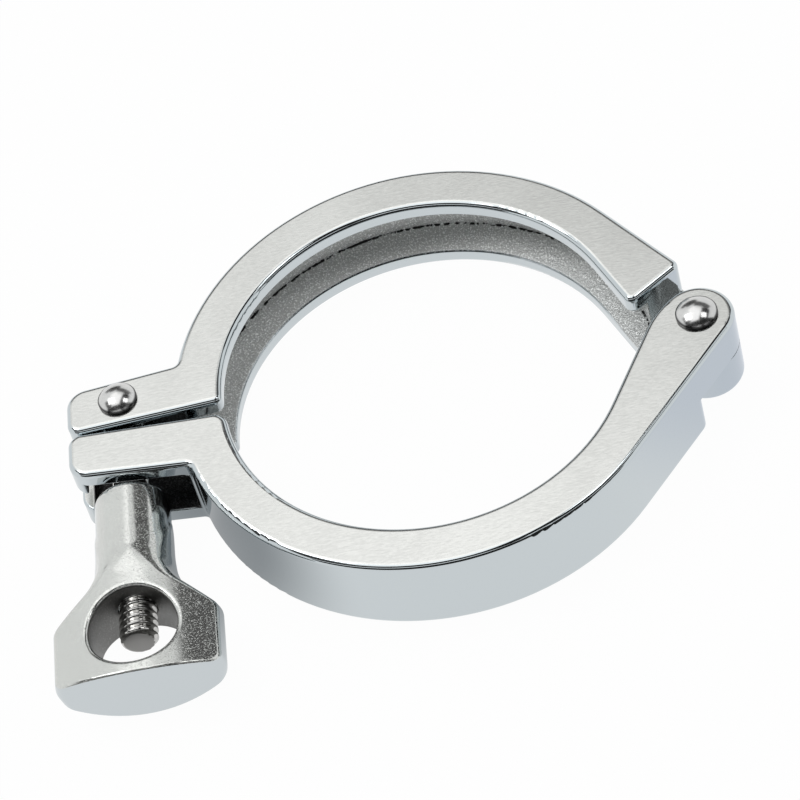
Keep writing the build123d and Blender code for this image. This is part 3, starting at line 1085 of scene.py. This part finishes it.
def card_axes(azimuth, elevation):
    """Facing, across and up of a card. Azimuth 0 is ahead of the camera and 90 on its right."""
    turn, lift = math.radians(azimuth), math.radians(elevation)
    level = math.cos(turn) * AHEAD + math.sin(turn) * RIGHT
    facing = math.cos(lift) * level + Vector((0, 0, math.sin(lift)))
    across = math.cos(turn) * RIGHT - math.sin(turn) * AHEAD
    return facing, across, across.cross(facing)


def studio_card_group():
    """Mask of a flat card seen in the sky: 1 inside its edges, soft outside."""
    tree, w, given = new_group(
        "studio_card",
        [
            ("Facing", VECTOR, (0, 1, 0)),
            ("Across", VECTOR, (1, 0, 0)),
            ("Up", VECTOR, (0, 0, 1)),
            ("Half Width", FLOAT, 0.3),
            ("Half Height", FLOAT, 0.3),
            ("Softness", FLOAT, 0.05),
        ],
        ["Mask"],
    )
    look = w.coordinate("Generated")
    ahead = w.vector("DOT_PRODUCT", look, given["Facing"])
    mask = w.math("GREATER_THAN", ahead, IN_FRONT)
    for direction, half in (("Across", "Half Width"), ("Up", "Half Height")):
        sideways = w.vector("DOT_PRODUCT", look, given[direction])
        offset = w.math("ABSOLUTE", w.math("DIVIDE", sideways, ahead))
        outer = w.math("ADD", given[half], given["Softness"])
        inner = w.math("SUBTRACT", given[half], given["Softness"])
        mask = w.times(mask, w.step(offset, outer, inner))
    w.node("NodeGroupOutput", {"Mask": mask})
    return tree


def build_sky(world):
    """Pale studio sky, brightest overhead, with dark walls that draw lines in the steel."""
    world.use_nodes = True
    w = Wiring(world.node_tree)
    height = w.split(w.coordinate("Generated"))["Z"]
    colour = w.tint(w.step(height, *OVERHEAD_EDGE), SKY_COLOUR, OVERHEAD_COLOUR)
    card = studio_card_group()
    for _, azimuth, elevation, half_width, half_height, softness, level in CARDS:
        facing, across, up = card_axes(azimuth, elevation)
        mask = w.group(
            card,
            Facing=facing,
            Across=across,
            Up=up,
            Half_Width=math.tan(math.radians(half_width)),
            Half_Height=math.tan(math.radians(half_height)),
            Softness=softness,
        )["Mask"]
        colour = w.tint(mask, colour, (level, level, level, 1))
    sky = w.node("ShaderNodeBackground", {"Color": colour, "Strength": 1.0})
    w.node("ShaderNodeOutputWorld", {"Surface": sky.outputs[0]})


def floor_material(look):
    """Pale floor that the camera and the steel see as near white, with the clamp's shadow on it and
    patches of painted shade that only the steel sees.
    """
    material = bpy.data.materials.new("pale_floor")
    material.use_nodes = True
    w = Wiring(material.node_tree)
    lit = w.node("ShaderNodeBsdfDiffuse", {"Color": rgba(look.floor)}).outputs[0]
    place = w.coordinate("Object")
    rays = w.node("ShaderNodeLightPath").outputs
    glow = WHITE
    for centre, outer, inner, colour in REFLECTED_FLOOR_SHADES:
        reach = w.group(shared("distance_from_axis"), Place=place, Centre=centre)["Radius"]
        # Painted shade: darker patches of floor seen only by glossy rays, so only in the steel's
        # reflections.
        reflected_shade = w.times(w.step(reach, outer, inner), rays["Is Glossy Ray"])
        glow = w.tint(reflected_shade, glow, colour)
    white = w.node("ShaderNodeEmission", {"Color": glow, "Strength": 1.0}).outputs[0]
    seen = w.math("MAXIMUM", rays["Is Camera Ray"], rays["Is Glossy Ray"])
    seen = w.math("MAXIMUM", seen, rays["Is Transmission Ray"])
    share = w.times(seen, look.floor_glow)
    top = w.node("ShaderNodeMixShader", {0: share, 1: lit, 2: white}).outputs[0]
    clear = w.node("ShaderNodeBsdfTransparent").outputs[0]
    below = w.node("ShaderNodeNewGeometry").outputs["Backfacing"]
    both = w.node("ShaderNodeMixShader", {0: below, 1: top, 2: clear}).outputs[0]
    w.node("ShaderNodeOutputMaterial", {"Surface": both})
    return material


def build_floor(look):
    """A wide round floor at the height of the clamp's underside, clear from below."""
    work = bmesh.new()
    bmesh.ops.create_circle(
        work, cap_ends=True, segments=look.floor_sides, radius=look.floor_radius
    )
    mesh = bpy.data.meshes.new("floor")
    work.to_mesh(mesh)
    work.free()
    mesh.materials.append(floor_material(look))
    floor = bpy.data.objects.new("floor", mesh)
    floor.location = (0, 0, CAD_LOW.z)
    bpy.context.scene.collection.objects.link(floor)


def soft_lamp(name, azimuth, elevation, distance, size, power):
    """A square soft lamp that faces the clamp."""
    lamp = bpy.data.lights.new(name, "AREA")
    lamp.shape = "SQUARE"
    lamp.size = size
    lamp.energy = power
    piece = bpy.data.objects.new(name, lamp)
    direction, _, _ = card_axes(azimuth, elevation)
    piece.location = direction * distance
    piece.rotation_euler = direction.to_track_quat("Z", "Y").to_euler()
    bpy.context.scene.collection.objects.link(piece)


def build_camera():
    """The camera at the photograph's viewpoint, turned about its own axis by the roll."""
    camera = bpy.data.cameras.new("camera")
    camera.lens = CAMERA_LENS
    camera.sensor_width = SENSOR_WIDTH
    piece = bpy.data.objects.new("camera", camera)
    bpy.context.scene.collection.objects.link(piece)
    back = CAMERA_BACK.normalized()
    right = Vector((-back.y, back.x, 0)).normalized()
    up = back.cross(right)
    level = Matrix((right, up, back)).transposed().to_4x4()
    roll = Matrix.Rotation(math.radians(CAMERA_ROLL), 4, "Z")
    eye = CAMERA_TARGET + back * CAMERA_DISTANCE
    piece.matrix_world = Matrix.Translation(eye) @ level @ roll
    bpy.context.scene.camera = piece


class CLAMP_OT_stage(bpy.types.Operator):
    """Set the pale floor, the studio sky, the soft lamps and the camera"""

    bl_idname = "clamp.stage"
    bl_label = "Stage"

    def execute(self, context):
        scene = context.scene
        build_floor(scene.clamp_stage)
        scene.world = scene.world or bpy.data.worlds.new("studio")
        build_sky(scene.world)
        for lamp in LAMPS:
            soft_lamp(*lamp)
        build_camera()
        scene.view_settings.view_transform = "Standard"
        return {"FINISHED"}


# The add-on: each operator with the name and the type of its settings.
PIECES = (
    (CLAMP_OT_castings, "clamp_castings", CastingFinish),
    (CLAMP_OT_rivets, "clamp_rivets", RivetFinish),
    (CLAMP_OT_eye_bolt, "clamp_eye_bolt", BoltSizes),
    (CLAMP_OT_wing_nut, "clamp_wing_nut", WingNutSizes),
    (CLAMP_OT_stage, "clamp_stage", StageLook),
)


class CLAMP_PT_pieces(bpy.types.Panel):
    """Lists the clamp's pieces and their sizes"""

    bl_idname = "CLAMP_PT_pieces"
    bl_label = "Hinged Clamp"
    bl_space_type = "VIEW_3D"
    bl_region_type = "UI"
    bl_category = "Clamp"

    def draw(self, context):
        for operator, name, settings in PIECES:
            box = self.layout.box()
            box.operator(operator.bl_idname)
            for setting in settings.__annotations__:
                box.prop(getattr(context.scene, name), setting)


def register():
    for operator, name, settings in PIECES:
        bpy.utils.register_class(settings)
        setattr(bpy.types.Scene, name, PointerProperty(type=settings))
        bpy.utils.register_class(operator)
    bpy.utils.register_class(CLAMP_PT_pieces)


def unregister():
    bpy.utils.unregister_class(CLAMP_PT_pieces)
    for operator, name, settings in reversed(PIECES):
        bpy.utils.unregister_class(operator)
        delattr(bpy.types.Scene, name)
        bpy.utils.unregister_class(settings)


def main():
    register()
    bpy.ops.clamp.castings()
    bpy.ops.clamp.rivets()
    bpy.ops.clamp.eye_bolt()
    bpy.ops.clamp.wing_nut()
    bpy.ops.clamp.stage()


if __name__ == "__main__":
    main()
